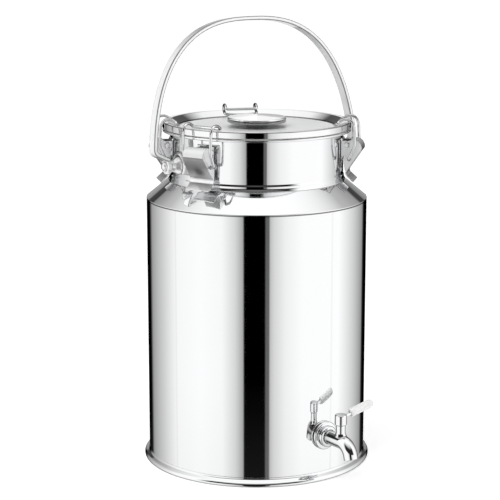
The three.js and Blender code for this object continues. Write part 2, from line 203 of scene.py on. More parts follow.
MAT_DISH = steel("steel_dish_satin", base=(0.8, 0.805, 0.81), rough=0.42, vary=0.05, bump=0.01,
                 scale=90.0, metal=0.4)
MAT_INSIDE = steel("steel_inside_satin", base=(0.75, 0.755, 0.76), rough=0.3, vary=0.1)


def plastic(name, color, rough, bump_scale, bump, translucency):
    """Soft white plastic: faint blotches of colour, a fine grain and a little light inside."""
    mat, nt, bsdf = new_material(name)
    coord = nt.nodes.new("ShaderNodeTexCoord")
    tint = nt.nodes.new("ShaderNodeTexNoise")
    tint.inputs["Scale"].default_value = 60.0
    tint.inputs["Detail"].default_value = 3.0
    nt.links.new(coord.outputs["Object"], tint.inputs["Vector"])
    ramp = nt.nodes.new("ShaderNodeValToRGB")
    ramp.color_ramp.elements[0].position = 0.3
    ramp.color_ramp.elements[0].color = (*[c * 0.96 for c in color], 1.0)
    ramp.color_ramp.elements[1].position = 0.7
    ramp.color_ramp.elements[1].color = (*color, 1.0)
    nt.links.new(tint.outputs["Fac"], ramp.inputs["Fac"])
    nt.links.new(ramp.outputs["Color"], bsdf.inputs["Base Color"])
    bsdf.inputs["Roughness"].default_value = rough
    bsdf.inputs["Subsurface Weight"].default_value = translucency
    bsdf.inputs["Subsurface Radius"].default_value = (0.003, 0.003, 0.003)
    grain = nt.nodes.new("ShaderNodeTexNoise")
    grain.inputs["Scale"].default_value = bump_scale
    nt.links.new(coord.outputs["Object"], grain.inputs["Vector"])
    node = nt.nodes.new("ShaderNodeBump")
    node.inputs["Strength"].default_value = bump
    node.inputs["Distance"].default_value = 0.0001
    nt.links.new(grain.outputs["Fac"], node.inputs["Height"])
    nt.links.new(node.outputs["Normal"], bsdf.inputs["Normal"])
    return mat


MAT_SLEEVE = plastic("vinyl_white", (0.93, 0.93, 0.925), 0.32, 700.0, 0.15, 0.2)
MAT_RUBBER = plastic("silicone_white", (0.86, 0.86, 0.83), 0.5, 400.0, 0.2, 0.3)


# ---------------------------------------------------------------- mesh helpers
def mm(v):
    """A point in mm, as metres."""
    return tuple(c / 1000.0 for c in v)


def area(profile):
    """Signed area of a closed 2-D outline."""
    total = 0.0
    for (x0, y0), (x1, y1) in zip(profile, profile[1:] + profile[:1]):
        total += x0 * y1 - x1 * y0
    return total / 2.0


def fillet(points, radius, n=5, closed=True, radii=None):
    """Corners of a 2-D outline replaced by short smooth arcs."""
    out = []
    count = len(points)
    for i, p in enumerate(points):
        r = (radii or {}).get(i, radius)
        if not closed and i in (0, count - 1):
            out.append(tuple(p))
            continue
        p = Vector(p)
        a = Vector(points[i - 1]) - p
        b = Vector(points[(i + 1) % count]) - p
        if r <= 0 or a.length < 1e-6 or b.length < 1e-6:
            out.append(tuple(p))
            continue
        d = min(r, a.length * 0.48, b.length * 0.48)
        p0 = p + a.normalized() * d
        p1 = p + b.normalized() * d
        for k in range(n + 1):
            t = k / n
            q = p0 * (1 - t) ** 2 + p * 2 * t * (1 - t) + p1 * t ** 2
            out.append(tuple(q))
    return out


def lathe_data(profile, seg=192):
    """A closed (r, z) profile turned about the Z axis."""
    pts = list(profile)
    if area(pts) < 0:
        pts.reverse()
    verts, rings = [], []
    for r, z in pts:
        if r < 1e-6:
            rings.append([len(verts)])
            verts.append((0.0, 0.0, z))
        else:
            start = len(verts)
            rings.append(list(range(start, start + seg)))
            for k in range(seg):
                a = 2 * math.pi * k / seg
                verts.append((r * math.cos(a), r * math.sin(a), z))
    faces = []
    count = len(rings)
    for i in range(count):
        a, b = rings[i], rings[(i + 1) % count]
        if len(a) == 1 and len(b) == 1:
            continue
        for k in range(seg):
            m = (k + 1) % seg
            if len(a) == 1:
                faces.append((a[0], b[m], b[k]))
            elif len(b) == 1:
                faces.append((a[k], a[m], b[0]))
            else:
                faces.append((a[k], a[m], b[m], b[k]))
    return verts, faces


def rounded_path(points, radius, n=8, radii=None):
    """A 3-D path whose inner corners are replaced by short smooth arcs."""
    pts = [Vector(p) for p in points]
    out = [pts[0].copy()]
    for i in range(1, len(pts) - 1):
        p = pts[i]
        r = (radii or {}).get(i, radius)
        a, b = pts[i - 1] - p, pts[i + 1] - p
        d = min(r, a.length * 0.47, b.length * 0.47)
        p0 = p + a.normalized() * d
        p1 = p + b.normalized() * d
        for k in range(n + 1):
            t = k / n
            out.append(p0 * (1 - t) ** 2 + p * 2 * t * (1 - t) + p1 * t ** 2)
    out.append(pts[-1].copy())
    return out


def sweep_data(path, section, side, scales=None, caps=True):
    """A closed section carried along a path; side is the direction of its first coordinate."""
    verts, faces = [], []
    n = len(section)
    side = Vector(side)
    for i, p in enumerate(path):
        a, b = path[max(0, i - 1)], path[min(len(path) - 1, i + 1)]
        t = (b - a).normalized()
        side = (side - t * side.dot(t)).normalized()
        up = t.cross(side)
        s = scales[i] if scales else 1.0
        for u, v in section:
            verts.append(tuple(p + side * (u * s) + up * (v * s)))
    for i in range(len(path) - 1):
        for k in range(n):
            a, b = i * n + k, i * n + (k + 1) % n
            faces.append((a, b, b + n, a + n))
    if caps:
        last = (len(path) - 1) * n
        faces.append(tuple(range(n - 1, -1, -1)))
        faces.append(tuple(last + k for k in range(n)))
    return verts, faces


def circle(radius, sides):
    """A regular polygon with its corners on a circle."""
    return [
        (radius * math.cos(2 * math.pi * k / sides), radius * math.sin(2 * math.pi * k / sides))
        for k in range(sides)
    ]


def merge_data(*parts):
    """Several meshes as one."""
    verts, faces = [], []
    for v, f in parts:
        base = len(verts)
        verts.extend(v)
        faces.extend(tuple(base + i for i in face) for face in f)
    return verts, faces


def turn(data, az=None, matrix=None):
    """A mesh turned by a matrix, or from the +X side to an azimuth."""
    verts, faces = data
    m = matrix or Matrix.Rotation(math.radians(az - 90.0), 3, "Z")
    return [tuple(m @ Vector(v)) for v in verts], faces


def shift(data, x=0.0, y=0.0, z=0.0):
    """A mesh moved along the axes."""
    verts, faces = data
    return [(a + x, b + y, c + z) for a, b, c in verts], faces


Z_TO_X = Matrix.Rotation(math.pi / 2, 3, "Y")
Z_TO_Y = Matrix.Rotation(-math.pi / 2, 3, "X")


def piece(name, data, body, mat, nodes, bevel=0.0, angle=32.0, tones=None):
    """One visual piece from mm data, put on its body and in place of its CAD nodes."""
    verts, faces = data
    me = bpy.data.meshes.new(name)
    me.from_pydata([mm(v) for v in verts], [], faces)
    # tones fill the DARK attribute: painted shade, and on the body shell also the weld lines
    if tones:
        layer = me.attributes.new(DARK, "FLOAT", "POINT")
        for i, value in enumerate(tones):
            layer.data[i].value = value
    me.validate()
    me.polygons.foreach_set("use_smooth", [True] * len(me.polygons))
    me.set_sharp_from_angle(angle=math.radians(angle))
    me.materials.append(mat)
    ob = bpy.data.objects.new("v_" + name, me)
    bpy.context.scene.collection.objects.link(ob)
    if bevel:
        mod = ob.modifiers.new("bevel", "BEVEL")
        mod.width = bevel / 1000.0
        mod.segments = 3
        mod.limit_method = "ANGLE"
        mod.angle_limit = math.radians(40.0)
    mod = ob.modifiers.new("normals", "WEIGHTED_NORMAL")
    mod.keep_sharp = True
    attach(ob, body)
    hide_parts(*nodes)


# ---------------------------------------------------------------- can
piece("base_ring", lathe_data(fillet([
    (123.9, 0.1), (129.4, 0.1), (130.4, 1.4), (130.4, 3.0), (129.3, 4.9), (126.9, 6.3),
    (125.0, 7.4), (125.0, 9.6), (123.9, 9.6),
], 0.9, n=4), seg=256), "can", MAT_BODY, ["base_ring"], angle=60)

piece("bottom_plate", lathe_data([
    (0, 0), (121.5, 0), (122.6, 0.25), (123.2, 0.8), (123.6, 2),
    (123.6, 9.5), (122.4, 9.5), (122.4, 2.4), (121.5, 1.6), (0, 1.6),
], seg=128), "can", MAT_INSIDE, ["bottom_plate"])


def body_shell():
    """The plain wall, with a narrow ring of its own just under the shoulder that carries a painted
    dark reflection.
    """
    low, high = SHELL_PLAIN_Z
    rows = [SHELL_Z[0]] + [low + (high - low) * i / SHELL_ROWS for i in range(SHELL_ROWS + 1)]
    rows += [*SHELL_RING_Z, SHELL_Z[1]]
    outer = [(BODY_R, z) for z in rows]
    inner = [(BODY_R - WALL, z) for z in reversed(rows)]
    return lathe_data(outer + inner, seg=384)


def shell_tone(x, y, z):
    """A painted dark reflection ring under the shoulder, and faint upright weld lines."""
    if z > sum(SHELL_RING_Z) / 2:
        return 0.85
    azimuth = math.degrees(math.atan2(x, -y))
    return 0.1 if min(abs(azimuth - weld) for weld in WELD_AZ) < WELD_HALF_AZ else 0.0


shell = body_shell()
piece("body_shell", shell, "can", MAT_BODY, ["body_shell"],
      tones=[shell_tone(*v) for v in shell[0]])

piece("shoulder_cone", lathe_data(fillet([
    (BODY_R - 1.6, 302.5), (BODY_R, 302.5), (BODY_R, 303.4), (113, 313.4), (100.6, 323.8),
    (99.0, 323.8), (121.5, 304.6),
], 0.7, n=4), seg=256), "can", MAT_BODY, ["shoulder_cone"], angle=50)

piece("neck_tube", lathe_data(fillet([
    (NECK_R - WALL, 323.9), (100.6, 323.9), (99.9, 325.4), (99.1, 327.0), (98.9, 329.6),
    (NECK_R, 331.4), (NECK_R, 352), (NECK_R, 377.9), (NECK_R - WALL, 377.9),
], 0.8, n=4), seg=256), "can", MAT_BODY, ["neck_tube"], angle=50)

piece("mouth_bead", lathe_data(fillet([
    (NECK_R - WALL, 378.3), (105.0, 378.3), (106.3, 378.9), (106.3, 380.9), (105.0, 381.4),
    (98.4, 381.4), (NECK_R - WALL, 381),
], 1.1, n=5), seg=256), "can", MAT_BODY, ["mouth_bead"], angle=60)

# ---------------------------------------------------------------- lid
rim = lathe_data(fillet([
    (87.4, 381.6), (88, 381.6), (97.4, 386.8), (98.2, 384.2), (105, 384.2), (105, 382.4),
    (106.3, 382.4), (106.3, 388.9), (105.5, 389.8), (101.5, 389.8), (90.2, 384.0), (88.4, 383.1),
    (87.4, 382.8),
], 0.9, n=5, radii={0: 0, 12: 0, 7: 0.6, 8: 0.6, 9: 2.4, 10: 0.4, 11: 1.0}), seg=256)


def rim_tone(x, y, z):
    """Painted shade in the crease round the dish, and a painted dark reflection on the rounded
    outer lip.
    """
    radius = math.hypot(x, y)
    if radius < 90.0 and z > 382.5:
        return 0.8
    return 0.6 if 105.6 < radius < 106.25 and z > 388.6 else 0.0


piece("lid_rim", rim, "can", MAT_LID, ["lid_rim"], angle=60,
      tones=[rim_tone(*v) for v in rim[0]])

piece("lid_dish", lathe_data([
    (0, 381.6), (87.2, 381.6), (87.2, 382.8), (0, 382.8),
], seg=192), "can", MAT_DISH, ["lid_dish"])

knob = lathe_data(fillet([
    (0, 387.9), (32.9, 387.9), (33.4, 388.4), (33.4, 390.4), (33.4, 392.4), (32.6, 393.4),
    (28, 394.0), (22, 394.7), (15, 395.3), (8, 395.8), (0, 396.0),
], 0.7, n=5, radii={0: 0, 10: 0, 5: 1.0}), seg=192)
# painted shade and a painted dark reflection: the side and underside of the knob are darker than
# its domed top
piece("lid_knob", knob, "can", MAT_LID, ["lid_knob"], angle=60,
      tones=[0.7 if z < 392.0 else 0.0 for _, _, z in knob[0]])

piece("knob_post", lathe_data(fillet([
    (0, 383.1), (12.4, 383.1), (11.2, 384.0), (10.4, 385.6), (10.4, 387.7), (0, 387.7),
], 0.6, n=4, radii={0: 0, 5: 0}), seg=96), "can", MAT_DISH, ["knob_post"])

# these CAD nodes are carried over as they are, with a material of their own
for node, mat in (("lid_gasket", MAT_RUBBER), ("tap_inner_gasket", MAT_RUBBER),
                  ("knob_screw", MAT_INSIDE), ("tap_lock_nut", MAT_INSIDE)):
    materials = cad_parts[node].data.materials
    materials.clear()
    materials.append(mat)


# ---------------------------------------------------------------- bail handle
def strip_section(width, thick, corner=1.5, n=5):
    """A flat strip with rounded corners."""
    w, t = width / 2, thick / 2
    return fillet([(-w, -t), (w, -t), (w, t), (-w, t)], corner, n=n)


def bail_arch():
    """A quarter of a superellipse, from the foot of the arch up to its crown."""
    arch = []
    first = math.asin(((BAIL_FOOT_Z - BAIL_Z0) / BAIL_B) ** (BAIL_POWER / 2))
    for i in range(BAIL_STEPS + 1):
        a = first + (math.pi / 2 - first) * i / BAIL_STEPS
        c, s = max(math.cos(a), 0.0), math.sin(a)
        arch.append((BAIL_A * c ** (2 / BAIL_POWER), 0, BAIL_Z0 + BAIL_B * s ** (2 / BAIL_POWER)))
    return arch


def bail_strip():
    """The bent strip with its two eyes, and painted shade that darkens the strip's edges."""
    low = [(EYE_X, 0, PIVOT_Z + EYE_LAP), (EYE_X, 0, EYE_NECK_Z)]
    arch = bail_arch()
    blend_end = 6
    right_half = rounded_path(low + [arch[0], arch[blend_end]], 5.0)[:-1]
    right_half += [Vector(p) for p in arch[blend_end:]]
    left_half = [Vector((-p.x, 0, p.z)) for p in reversed(right_half[:-1])]
    section = strip_section(BAIL_W, BAIL_T)
    strip = sweep_data(right_half + left_half, section, (0, 1, 0))
    t = BAIL_T / 2
    ring = fillet([(EYE_BORE_R, -t), (EYE_R, -t), (EYE_R, t), (EYE_BORE_R, t)], 0.9, n=4)
    eyes = []
    for s in (-1, 1):
        eye = turn(lathe_data(ring, seg=64), matrix=Z_TO_X)
        eyes.append(shift(eye, s * EYE_X, 0, PIVOT_Z))
    # painted shade: darkest halfway round each rounded corner of the section
    per_corner = len(section) // 4
    tones = [math.sin(math.pi * (k % per_corner) / (per_corner - 1)) for k in range(len(section))]
    tones = tones * (len(strip[0]) // len(section))
    upright = shift(merge_data(strip, *eyes), 0, 0, -PIVOT_Z)
    tones += [0.0] * (len(upright[0]) - len(tones))
    lean = Matrix.Rotation(-math.radians(BAIL_LEAN), 3, "X")
    return shift(turn(upright, matrix=lean), 0, 0, PIVOT_Z), tones


strip_data, strip_tones = bail_strip()
piece("bail_strip", strip_data, "bail", MAT_STRIP, ["bail_strip"], angle=50,
      tones=strip_tones)


def curved_pad(z_range, cols, rows, half_angle, height):
    """A pad wrapped on the neck: its half width in radians and its height vary over it."""
    z0, z1 = z_range
    verts, faces = [], []
    for j in range(rows + 1):
        z = z0 + (z1 - z0) * j / rows
        half = half_angle(z)
        for i in range(cols + 1):
            u = -1 + 2 * i / cols
            r = NECK_R + PAD_GAP + height(u, z)
            verts.append((r * math.cos(u * half), r * math.sin(u * half), z))
    for j in range(rows):
        for i in range(cols):
            a = j * (cols + 1) + i
            faces.append((a, a + 1, a + cols + 2, a + cols + 1))
    return verts, faces


def rounded_edge(distance):
    """Height factor near a border: 0 on it, 1 from a unit distance inwards."""
    inside = max(min(1.0, distance), 0.0)
    return math.sqrt(inside * (2 - inside))


def bracket():
    """Fan-shaped pressed pad that follows the neck, with a raised rib round the pivot."""
    z0, z1 = BRACKET_Z
    foot_w, shoulder_w, top_w = BRACKET_HALF_W
    dish_r, groove_r, rib_r, field_r = 11.0, 10.4, 12.6, 13.6

    def half_width(z):
        if z < BRACKET_SHOULDER_Z:
            return foot_w + (shoulder_w - foot_w) * (z - z0) / (BRACKET_SHOULDER_Z - z0)
        return top_w + (shoulder_w - top_w) * (z1 - z) / (z1 - BRACKET_SHOULDER_Z)

    def height(u, z):
        w = half_width(z)
        rho = math.hypot(u * w, z - PIVOT_Z)
        h = 1.5 + 1.5 * math.exp(-((rho - rib_r) / 1.5) ** 2)
        if rho < dish_r:
            h += 1.3 * (1 - (rho / dish_r) ** 2)
        return h * rounded_edge(min((1 - abs(u)) * w, (z - z0) / 0.9, (z1 - z) / 0.9))

    # painted shade: dark in the groove round the rib and over the field beyond it
    def tone(x, y, z):
        rho = math.hypot(math.atan2(y, x) * NECK_R, z - PIVOT_Z)
        groove = math.exp(-((rho - groove_r) / 1.2) ** 2)
        beyond = min(1.0, max(0.0, (rho - field_r) / 1.2))
        return max(0.85 * groove, 0.55 * beyond)

    pad = curved_pad(BRACKET_Z, 64, 56, lambda z: half_width(z) / NECK_R, height)
    tones = [tone(*v) for v in pad[0]]
    boss = lathe_data(fillet([
        (0, 99), (10.4, 99), (9.8, 101.8), (8.0, 104.6), (7.0, 107), (6.4, 110.2), (4.8, 110.2),
        (4.8, 106), (0, 106),
    ], 0.7, n=3, radii={0: 0, 8: 0}), seg=64)
    whole = merge_data(pad, shift(turn(boss, matrix=Z_TO_X), 0, 0, PIVOT_Z))
    tones += [0.0] * (len(whole[0]) - len(tones))
    return whole, tones


def pivot_part(profile, radius, n, radii=None):
    """A round part turned about the bail's pivot axis, drawn on the +X side."""
    data = lathe_data(fillet(profile, radius, n=n, radii=radii), seg=64)
    return shift(turn(data, matrix=Z_TO_X), 0, 0, PIVOT_Z)


bracket_data, bracket_tones = bracket()
washer = pivot_part([(4.8, 110.5), (7.4, 110.5), (7.4, 111.3), (4.8, 111.3)], 0.25, 2)
stud = pivot_part([
    (0, 106.3), (STUD_R, 106.3), (STUD_R, 116.3), (5.0, 116.3), (5.0, 117.2), (4.5, 118.6),
    (3.3, 119.7), (1.7, 120.2), (0, 120.3),
], 0.5, 3, radii={0: 0, 8: 0})
for side_name, az in (("left", -90.0), ("right", 90.0)):
    piece(f"bail_bracket_{side_name}", turn(bracket_data, az), "can", MAT_PIVOT,
          [f"bail_bracket_{side_name}"], angle=60, tones=bracket_tones)
    piece(f"bail_washer_{side_name}", turn(washer, az), "can", MAT_PIVOT,
          [f"bail_washer_{side_name}"])
    piece(f"bail_stud_{side_name}", turn(stud, az), "can", MAT_PIVOT,
          [f"bail_stud_{side_name}"], angle=50)


# ---------------------------------------------------------------- latches
def ring_plate(outline, holes, y0, y1, seg=24):
    """A plate with round holes: the outline is joined to each hole by a triangulated fill."""
    bm = bmesh.new()
    loops = []

    def loop(points):
        vs = [bm.verts.new((x, y0, z)) for x, z in points]
        es = [bm.edges.new((vs[i], vs[(i + 1) % len(vs)])) for i in range(len(vs))]
        loops.append(vs)
        return es

    edges = loop(outline)
    for cx, cz, r in holes:
        edges += loop([(cx + u, cz + v) for u, v in circle(r, seg)])
    bmesh.ops.triangle_fill(bm, use_beauty=True, use_dissolve=False, edges=edges)
    bmesh.ops.recalc_face_normals(bm, faces=bm.faces[:])
    bm.faces.ensure_lookup_table()
    flip = bm.faces[0].normal.y > 0
    base = list(bm.verts)
    index = {v: i for i, v in enumerate(base)}
    tris = [[index[v] for v in f.verts] for f in bm.faces]
    if flip:
        tris = [list(reversed(t)) for t in tris]
    n = len(base)
    verts = [tuple(v.co) for v in base] + [(v.co.x, y1, v.co.z) for v in base]
    faces = [tuple(t) for t in tris] + [tuple(n + i for i in reversed(t)) for t in tris]
    for vs in loops:
        ids = [index[v] for v in vs]
        coords = [(base[i].co.x, base[i].co.z) for i in ids]
        turn_left = area(coords) > 0
        outer = vs is loops[0]
        for k in range(len(ids)):
            a, b = ids[k], ids[(k + 1) % len(ids)]
            quad = (b, a, n + a, n + b) if turn_left else (a, b, n + b, n + a)
            faces.append(quad if outer else tuple(reversed(quad)))
    bm.free()
    return verts, faces


def flared(data):
    """The lever is wider at its fold and tail than at its rounded top."""
    verts, faces = data
    out = []
    for x, y, z in verts:
        low = min(1.0, max(0.0, (LEVER_FLARE_Z - z) / LEVER_FLARE_RUN))
        out.append((x, y * (1 + LEVER_FLARE * low), z))
    return out, faces


def lever_tone(x, z, u):
    """Painted shade and dark reflection on the lever's outer face: u is -1 to 1 across it, and the
    fold stays light.
    """
    tail_z, face_z, crease_z, nose_z = 332.0, 337.0, 360.0, 361.6
    if x > 105.2 and z < tail_z:
        return 0.74 - 0.5 * min(1.0, (tail_z - z) / 6.0)
    if z > nose_z:
        return 0.24 + 0.06 * math.sin((z - nose_z) * 0.6)
    if z > crease_z:
        return 0.78
    if z > face_z:
        fade = (crease_z - z) / (crease_z - face_z)
        # painted shade: a soft dark spot low on the face
        spot = math.exp(-((u - 0.1) / 0.4) ** 2 - ((z - 344.5) / 4.2) ** 2)
        side = 0.2 * max(0.0, u) * fade
        return 0.66 + 0.18 * math.sin(math.pi * min(1.0, fade * 1.1)) + 0.3 * spot - side
    return 0.0


def lever():
    """One folded sheet from nose to tail, with an ear down each side, and its tones of painted
    shade.
    """
    line = [
        (108.6, 370.5), (112.4, 371.1), (115.5, 370.5), (118.1, 368.7), (119.9, 366.0),
        (120.8, 363.1), (120.8, 361.0), (103.6, 335.4), (104.3, 332.4), (112.7, 325.0),
    ]
    cell, cols, tail_rows, tail_taper = 1.4, 16, 5, 0.9
    corners = fillet(line, 2.0, n=5, closed=False, radii={6: 1.5, 7: 1.8, 8: 1.6})
    smooth = [corners[0]]
    for a, b in zip(corners, corners[1:]):
        parts = max(1, int((Vector(b) - Vector(a)).length / cell))
        for k in range(1, parts + 1):
            smooth.append(tuple(Vector(a).lerp(Vector(b), k / parts)))
    n = len(smooth)
    outer, inner = [], []
    for i, p in enumerate(smooth):
        t = (Vector(smooth[min(n - 1, i + 1)]) - Vector(smooth[max(0, i - 1)])).normalized()
        nrm = Vector((-t.y, t.x))
        outer.append(tuple(Vector(p) + nrm * (SHEET_T / 2)))
        inner.append(tuple(Vector(p) - nrm * (SHEET_T / 2)))
    verts, tones, faces = [], [], []
    for side in (outer, inner):
        for i, (x, z) in enumerate(side):
            tail = max(0.0, (i - (n - tail_rows)) / tail_rows)
            half = LEVER_HALF - tail_taper * tail ** 2
            for k in range(cols + 1):
                u = -1 + 2 * k / cols
                verts.append((x, u * half, z))
                tones.append(lever_tone(x, z, u) if side is outer else 0.0)
    row, back = cols + 1, n * (cols + 1)
    for i in range(n - 1):
        for k in range(cols):
            a = i * row + k
            faces.append((a, a + 1, a + 1 + row, a + row))
            faces.append((back + a, back + a + row, back + a + row + 1, back + a + 1))
        a, b = i * row, i * row + cols
        faces.append((a, a + row, back + a + row, back + a))
        faces.append((b, back + b, back + b + row, b + row))
    for k in range(cols):
        a, b = k, (n - 1) * row + k
        faces.append((a, back + a, back + a + 1, a + 1))
        faces.append((b, b + 1, back + b + 1, back + b))
    top = fillet([
        (101.2, 367.4), (102.6, 369.4), (108.6, 371.0), (112.4, 371.6), (115.7, 371.0),
        (118.5, 369.0), (120.4, 366.3), (121.2, 363.2), (121.2, LEVER_FLARE_Z),
        (101.2, LEVER_FLARE_Z),
    ], 1.2, n=4, radii={8: 0, 9: 0})
    low = fillet([
        (101.2, LEVER_FLARE_Z), (121.2, LEVER_FLARE_Z), (104.9, 336.2), (102.8, 337.4),
        (101.2, 346),
    ], 1.2, n=4, radii={0: 0, 1: 0})
    sides = []
    for s in (-1, 1):
        c = s * (LEVER_HALF - LEVER_EAR_INSET)
        y0, y1 = c - LEVER_EAR_T / 2, c + LEVER_EAR_T / 2
        sides.append(ring_plate(top, [(*PIN_RZ, PIN_HOLE_R)], y0, y1))
        sides.append(ring_plate(low, [(*HOLE_RZ, WIRE_HOLE_R)], y0, y1))
    whole = merge_data((verts, faces), *sides)
    # the ears get a faint even painted shade
    tones += [0.04] * (len(whole[0]) - len(tones))
    return flared(whole), tones


def latch_base():
    """A small pad on the neck with two ears that carry the pin."""
    z0, z1 = LATCH_PAD_Z
    half = math.radians(LATCH_PAD_HALF_AZ)

    def height(u, z):
        border = min((1 - abs(u)) * half * NECK_R, z - z0, z1 - z)
        return 1.2 * rounded_edge(border / 0.8)

    pad = curved_pad(LATCH_PAD_Z, 24, 20, lambda z: half, height)
    outline = fillet([
        (98.8, 350), (103.6, 361.2), (107.4, 362.2), (109.2, 364.4), (109.2, 367.6),
        (107.4, 369.8), (103.6, 370.2), (98.8, 370.2),
    ], 1.2, n=4, radii={0: 0, 7: 0})
    ears = []
    for s in (-1, 1):
        y0, y1 = s * BASE_EAR_Y - SHEET_T / 2, s * BASE_EAR_Y + SHEET_T / 2
        ears.append(ring_plate(outline, [(*PIN_RZ, PIN_HOLE_R)], y0, y1))
    return merge_data(pad, *ears)


def wire_loop():
    """From both lever holes up past the lid and over its rim, closed by a bar on the dish side."""
    hr, hz = HOLE_RZ
    w = WIRE_HALF
    half = [
        (hr, WIRE_END, hz), (hr, w, hz), (114.2, w, 366), (113.2, w, 388), (109.4, w, 394.8),
        (101.4, w, 395.5), (94.6, w, 391),
    ]
    pts = half + [(x, -y, z) for x, y, z in reversed(half)]
    path = rounded_path(pts, 3.6, n=8, radii={1: 2.6, 12: 2.6, 6: 3.0, 7: 3.0})
    return sweep_data(path, circle(WIRE_R, 20), (0, 0, 1))


def latch_pin():
    """A plain pin with a head at each end, along the tangent."""
    profile = fillet([
        (0, -14.8), (2.4, -14.8), (3.4, -14.3), (3.4, -13.5), (2, -13.5), (2, 13.5), (3.4, 13.5),
        (3.4, 14.3), (2.4, 14.8), (0, 14.8)], 0.3, n=3, radii={0: 0, 9: 0})
    data = turn(lathe_data(profile, seg=40), matrix=Z_TO_Y)
    return shift(data, PIN_RZ[0], 0, PIN_RZ[1])


lever_data, lever_tones = lever()
for key, az in LATCHES.items():
    piece(f"latch_{key}_base", turn(latch_base(), az), "can", MAT_SHEET,
          [f"latch_{key}_base"], angle=40)
    piece(f"latch_{key}_lever", turn(lever_data, az), f"lever_{key}", MAT_LEVER,
          [f"latch_{key}_lever"], angle=40, tones=lever_tones)
    piece(f"latch_{key}_wire", turn(wire_loop(), az), f"wire_{key}", MAT_WIRE,
          [f"latch_{key}_wire"], angle=50)
    piece(f"latch_{key}_pin", turn(latch_pin(), az), "can", MAT_SHEET,
          [f"latch_{key}_pin"], angle=50)


# ---------------------------------------------------------------- tap
def tap_path():
    """Centre line of the pipe: out from the wall, round the bend and down to the outlet."""
    pts = [Vector((PIPE_START_R, 0, TAP_Z)), Vector((150, 0, TAP_Z))]
    total = math.radians(BEND_ANGLE)
    steps = 28
    for i in range(steps + 1):
        a = total * i / steps
        pts.append(Vector((BEND_START_R + BEND_R * math.sin(a), 0,
                           TAP_Z - BEND_R * (1 - math.cos(a)))))
    pts.append(pts[-1] + Vector((math.cos(total), 0, -math.sin(total))) * OUTLET_RUN)
    return pts


def tap_spout():
    """The bored pipe with its plain tail and the housing of the plug's stem."""
    path = tap_path()
    sides = 56
    outer = sweep_data(path, circle(PIPE_R, sides), (0, 1, 0), caps=False)
    inner = sweep_data(path, circle(BORE_R, sides), (0, 1, 0), caps=False)
    inner = (inner[0], [tuple(reversed(f)) for f in inner[1]])
    verts, faces = merge_data(outer, inner)
    n_outer = len(outer[0])
    for row in (0, len(path) - 1):
        for k in range(sides):
            m = (k + 1) % sides
            a, b = row * sides + k, row * sides + m
            c, d = n_outer + b, n_outer + a
            faces.append((b, a, d, c) if row == 0 else (a, b, c, d))
    tail = lathe_data([
        (BORE_R, 116), (7, 116), (7, PIPE_START_R), (BORE_R, PIPE_START_R),
    ], seg=48)
    tail = shift(turn(tail, matrix=Z_TO_X), 0, 0, TAP_Z)
    housing = lathe_data(fillet([
        (3.3, TAP_Z + 5.6), (7.2, TAP_Z + 5.6), (6.0, TAP_Z + 8.2), (5.3, TAP_Z + 10),
        (5.3, 70.1), (3.3, 70.1)], 0.8, n=5, radii={0: 0, 5: 0, 2: 2.0, 3: 2.0}), seg=56)
    housing = shift(housing, STEM_R, 0, 0)
    return merge_data((verts, faces), tail, housing)


piece("tap_spout", turn(tap_spout(), TAP_AZ), "can", MAT_TAP, ["tap_spout"],
      bevel=0.35, angle=45)


def tap_ring(profile, radius):
    """A round part about the pipe's axis, placed at the tap."""
    data = turn(lathe_data(fillet(profile, radius, n=4), seg=96), matrix=Z_TO_X)
    return turn(shift(data, 0, 0, TAP_Z), TAP_AZ)


piece("tap_washer", tap_ring([
    (7.6, 125.4), (15.2, 125.4), (16.0, 126.2), (16.0, 128.0), (15.0, 129.1), (11.5, 129.6),
    (7.6, 129.6)], 0.6), "can", MAT_TAP, ["tap_washer"], angle=50)
piece("tap_collar", tap_ring([
    (8.3, 130.0), (11.4, 130.0), (12.0, 130.6), (12.0, 133.0), (11.2, 134.2), (9.4, 135.0),
    (8.3, 135.0)], 0.5), "can", MAT_TAP, ["tap_collar"], angle=50)

plug = lathe_data(fillet([
    (0, TAP_Z - 4.6), (2.4, TAP_Z - 3.9), (4, TAP_Z - 2.2), (4.6, TAP_Z), (4, TAP_Z + 2.2),
    (2.9, TAP_Z + 3.5), (2.9, 72.6), (0, 72.6)], 0.5, n=3, radii={0: 0, 7: 0}), seg=48)
piece("tap_plug", turn(shift(plug, STEM_R, 0, 0), TAP_AZ), "tap_handle",
      MAT_INSIDE, ["tap_plug"])


def tap_lever():
    """The cap on the plug and the flat arm that carries the sleeve."""
    cap = lathe_data(fillet([
        (0, 73), (3.2, 73), (3.2, 70.4), (6.2, 70.4), (6.8, 71.1), (6.8, 81.1), (6.2, 82.0),
        (0, 82.3)], 0.5, n=4, radii={0: 0, 7: 0, 5: 0.8, 6: 0.8}), seg=64)
    cap = shift(cap, STEM_R, 0, 0)
    path = rounded_path([
        (STEM_R, 1, 79.1), (STEM_R, 6, 79.5), (STEM_R, *SLEEVE_A),
        (STEM_R, ARM_END, SLEEVE_A[1] + SLEEVE_SLOPE * (ARM_END - SLEEVE_A[0]))], 3.0)
    arm = sweep_data(path, fillet([(-2.6, -1.3), (2.6, -1.3), (2.6, 1.3), (-2.6, 1.3)], 0.6),
                     (1, 0, 0))
    return merge_data(cap, arm)


piece("tap_lever", turn(tap_lever(), TAP_AZ), "tap_handle", MAT_TAP,
      ["tap_lever"], angle=45)


